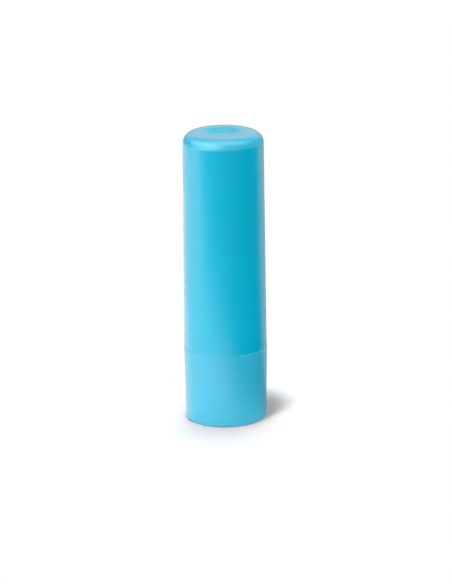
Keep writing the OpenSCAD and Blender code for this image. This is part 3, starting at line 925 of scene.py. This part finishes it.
def soften(lamp):
    """Fades a mirrored box out from its middle to its edges."""
    lamp.data.use_nodes = True
    tree = lamp.data.node_tree
    place = tree.nodes.new("ShaderNodeNewGeometry").outputs["Parametric"]
    from_middle = measure(tree, "DISTANCE", place, (0.5, 0.5, 0))
    strength = fade(tree, from_middle, BOX_BRIGHT, BOX_DARK)
    tree.links.new(strength, tree.nodes["Emission"].inputs["Strength"])


class BALMSTICK_OT_stage(bpy.types.Operator):
    """Set up the camera, the white sheet and the lights"""

    bl_idname = "balmstick.stage"
    bl_label = "Stage"

    def execute(self, context):
        stage, colours = context.scene.balmstick_stage, context.scene.balmstick_colours
        self.camera(context, stage)
        floor = self.floor(stage, colours)
        self.lights(floor)
        self.world(context, stage)
        context.scene.view_settings.view_transform = "Standard"
        return {"FINISHED"}

    def camera(self, context, stage):
        """The photograph's camera, found from the stick's outline."""
        deselect_all()
        bpy.ops.object.camera_add()
        camera = context.object
        camera.name = "camera"
        camera.data.sensor_fit = "HORIZONTAL"
        camera.data.sensor_width = SENSOR_W
        focal_pixels = stage.pixels_per_mm * stage.distance / MM
        camera.data.lens = focal_pixels / PICTURE_W * SENSOR_W
        camera.data.clip_start = 0.01
        camera.data.clip_end = 20.0
        place = around(0, math.degrees(stage.elevation), stage.distance, stage.aim_z)
        target = Vector((0, 0, stage.aim_z))
        look = (target - place).to_track_quat("-Z", "Y").to_matrix().to_4x4()
        roll = Matrix.Rotation(-stage.roll, 4, "Z")
        right = (PICTURE_W / 2 - stage.aim_column) / focal_pixels
        up = (stage.aim_row - PICTURE_H / 2) / focal_pixels
        pan = Matrix.Rotation(-math.atan(right), 4, "Y") @ Matrix.Rotation(math.atan(up), 4, "X")
        camera.matrix_world = Matrix.Translation(place) @ look @ roll @ pan
        context.scene.camera = camera

    def floor(self, stage, colours):
        """The floor, which carries the white sheet."""
        deselect_all()
        bpy.ops.mesh.primitive_plane_add(size=2.0, location=(0, 0, 0))
        floor = bpy.context.object
        floor.name = "white_sheet"
        bpy.ops.object.mode_set(mode="EDIT")
        bpy.ops.mesh.select_all(action="SELECT")
        bpy.ops.transform.resize(value=(stage.floor_reach, stage.floor_reach, 1))
        bpy.ops.object.mode_set(mode="OBJECT")
        dress(floor, floor_material(colours, stage))
        return floor

    def lights(self, floor):
        """The lamps and mirrored boxes round the stick. Light linking keeps some to the sheet alone."""
        lit_sheet = bpy.data.collections.new("lit_sheet")
        lit_sheet.objects.link(floor)
        for name, values in {**MATTE_LIGHTS, **SHEET_LIGHTS, **MIRRORED_BOXES}.items():
            azimuth, elevation, distance, width, height, radiance = values
            deselect_all()
            bpy.ops.object.light_add(type="AREA")
            lamp = bpy.context.object
            lamp.name = name
            lamp.data.shape = "RECTANGLE"
            lamp.data.size = width
            lamp.data.size_y = height
            lamp.data.energy = radiance * math.pi * width * height
            lamp.visible_camera = False
            lamp.visible_glossy = name in MIRRORED_BOXES
            lamp.visible_diffuse = name not in MIRRORED_BOXES
            if name in SHEET_LIGHTS:
                lamp.light_linking.receiver_collection = lit_sheet
            if name in MIRRORED_BOXES:
                soften(lamp)
            aim(lamp, around(azimuth, elevation, distance, LAMP_AIM_Z), (0, 0, LAMP_AIM_Z))

    def world(self, context, stage):
        """Even fill light from all round, darker where the plastic mirrors it; the camera sees white."""
        world = bpy.data.worlds.new("studio")
        context.scene.world = world
        world.use_nodes = True
        tree = world.node_tree
        path = tree.nodes.new("ShaderNodeLightPath")
        fill = tree.nodes["Background"]
        backdrops = [fill, tree.nodes.new("ShaderNodeBackground"), tree.nodes.new("ShaderNodeBackground")]
        for backdrop, strength in zip(backdrops, (stage.fill, stage.mirrored_fill, 1.0)):
            backdrop.inputs["Color"].default_value = (1, 1, 1, 1)
            backdrop.inputs["Strength"].default_value = strength
        mirrored = blend(tree, path.outputs["Is Glossy Ray"], fill, backdrops[1])
        choice = blend(tree, path.outputs["Is Camera Ray"], mirrored, backdrops[2])
        tree.links.new(choice.outputs[0], tree.nodes["World Output"].inputs["Surface"])


class BALMSTICK_PT_panel(bpy.types.Panel):
    """Lists the steps that make the stick, and their settings"""

    bl_idname = "BALMSTICK_PT_panel"
    bl_label = "Lip Balm Stick"
    bl_space_type = "VIEW_3D"
    bl_region_type = "UI"
    bl_category = "Balm Stick"

    def draw(self, context):
        for step in STEPS:
            self.layout.operator(step.bl_idname)
        for name in SETTINGS:
            settings = getattr(context.scene, name)
            column = self.layout.column()
            for entry in settings.__annotations__:
                column.prop(settings, entry)


STEPS = (
    BALMSTICK_OT_stage,
    BALMSTICK_OT_base,
    BALMSTICK_OT_mechanism,
    BALMSTICK_OT_tube,
    BALMSTICK_OT_balm,
    BALMSTICK_OT_cap,
)
SETTINGS = {
    "balmstick_shells": BalmStickShells,
    "balmstick_inside": BalmStickInside,
    "balmstick_colours": BalmStickColours,
    "balmstick_stage": BalmStickStage,
}
CLASSES = (*SETTINGS.values(), *STEPS, BALMSTICK_PT_panel)


def register():
    """Adds the settings, the steps and the panel."""
    for cls in CLASSES:
        bpy.utils.register_class(cls)
    for name, settings in SETTINGS.items():
        setattr(bpy.types.Scene, name, PointerProperty(type=settings))


def unregister():
    """Takes them away again."""
    for name in SETTINGS:
        delattr(bpy.types.Scene, name)
    for cls in reversed(CLASSES):
        bpy.utils.unregister_class(cls)


def main():
    """Makes the whole scene."""
    register()
    bpy.ops.balmstick.stage()
    bpy.ops.balmstick.base()
    bpy.ops.balmstick.mechanism()
    bpy.ops.balmstick.tube()
    bpy.ops.balmstick.balm()
    bpy.ops.balmstick.cap()


if __name__ == "__main__":
    main()
